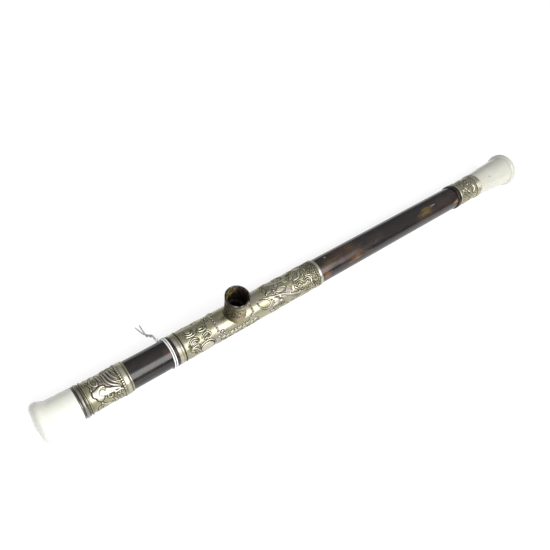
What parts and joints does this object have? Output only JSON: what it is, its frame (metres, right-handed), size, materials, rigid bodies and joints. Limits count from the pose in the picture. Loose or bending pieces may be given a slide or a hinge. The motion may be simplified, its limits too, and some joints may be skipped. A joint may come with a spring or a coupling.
{
  "type": "smoking pipe",
  "caption": "Long straight smoking pipe without its bowl: shell-covered stem, chased silver ferrules and saddle with a flared bowl socket, white end cap and mouthpiece, and a tied string.",
  "frame": {"origin": "centre of the bowl seat's mouth, on the socket's axis, 4 mm below the socket's rim", "axes": "+Z points out of the socket, along the way the bowl leaves; +X runs along the stem towards the mouthpiece; the stem's axis is level, 32.2 mm below the origin"},
  "size_m": [0.5722, 0.0619, 0.0549],
  "materials": {
    "white_stone": "polished",
    "silver": "chased, tarnished in the hollows and bright on the raised work",
    "dark_metal": "blackened, worn bright on the crests",
    "dark_horn": "satin",
    "shell": "mottled tortoiseshell, satin gloss",
    "bamboo": "plain",
    "brass": "drawn tube",
    "cotton": "twisted cotton thread"
  },
  "bodies": {
    "pipe": {"end_cap": "white_stone", "cap_dowel": "bamboo", "near_collar": "dark_metal", "near_bead_wire": "silver", "near_ferrule": "silver", "near_inner_bead_wire": "silver", "near_roll": "silver", "stem_core": "bamboo", "bore_plug": "bamboo", "near_sheath": "shell", "far_sheath": "shell", "saddle_ring": "dark_horn", "saddle_sleeve": "silver", "saddle_roll": "silver", "saddle_bead_wire": "silver", "saddle_rim": "silver", "cartouche_beads": "silver", "socket_foot": "silver", "socket_body": "silver", "socket_rim": "dark_metal", "throat_tube": "brass", "far_band": "dark_horn", "far_ferrule_edge": "silver", "far_ferrule": "silver", "far_ring_1": "silver", "far_ring_2": "silver", "far_ring_3": "silver", "mouth_bush": "bamboo"},
    "mouthpiece": {"mouthpiece": "white_stone", "mouth_tenon": "brass"},
    "tag_string": {"string_loop_a": "cotton", "string_loop_b": "cotton", "string_knot": "cotton", "string_tail_a": "cotton", "string_tail_b": "cotton"}
  },
  "joints": [
    {"name": "mouthpiece_pull", "type": "slide", "parent": "pipe", "child": "mouthpiece", "axis": [1, 0, 0], "range_m": [0, 0.03]},
    {"name": "string_slide", "type": "slide", "parent": "pipe", "child": "tag_string", "axis": [-1, 0, 0], "range_m": [0, 0.03]}
  ]
}
